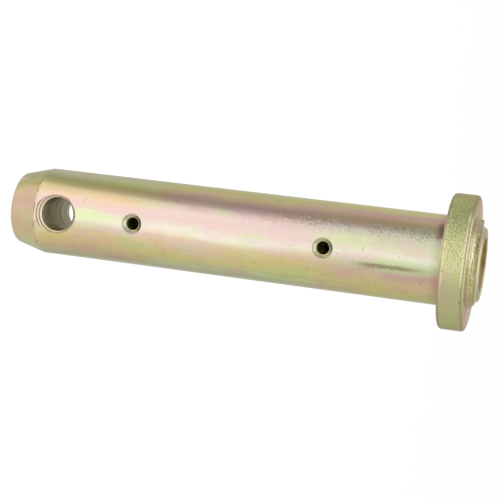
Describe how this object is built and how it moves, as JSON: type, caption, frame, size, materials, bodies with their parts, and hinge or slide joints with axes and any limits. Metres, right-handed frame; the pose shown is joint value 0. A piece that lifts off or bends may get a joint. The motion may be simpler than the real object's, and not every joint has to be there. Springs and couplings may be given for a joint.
{
  "type": "excavator link pin",
  "caption": "Plated steel link pin with a welded round head collar, a lead-in taper, a cross hole near the nose, two grease outlets and a recessed grease nipple.",
  "frame": {"origin": "centre of the nose face, on which the pin stands", "axes": "+Z along the pin from the nose to the head; -Y is the front, where the cross hole and the grease outlets open"},
  "size_m": [0.0676, 0.0676, 0.2443],
  "materials": {
    "plated_shaft": "turned, zinc plated, yellow chromate",
    "plated_collar": "rough-rimmed, zinc plated, yellow chromate",
    "plated_weld": "as welded, zinc plated, yellow chromate",
    "nipple_steel": "zinc plated",
    "ball_steel": "polished",
    "spring_steel": "drawn wire"
  },
  "bodies": {
    "pin": {"pin_shaft": "plated_shaft", "head_collar": "plated_collar", "head_weld": "plated_weld", "grease_nipple_body": "nipple_steel", "nipple_spring": "spring_steel"},
    "check_ball": {"nipple_check_ball": "ball_steel"}
  },
  "joints": [
    {"name": "check_ball_lift", "type": "slide", "parent": "pin", "child": "check_ball", "axis": [0, 0, -1], "range_m": [0, 0.001], "stiffness_N_per_m": 300, "deforming": ["nipple_spring"]}
  ]
}
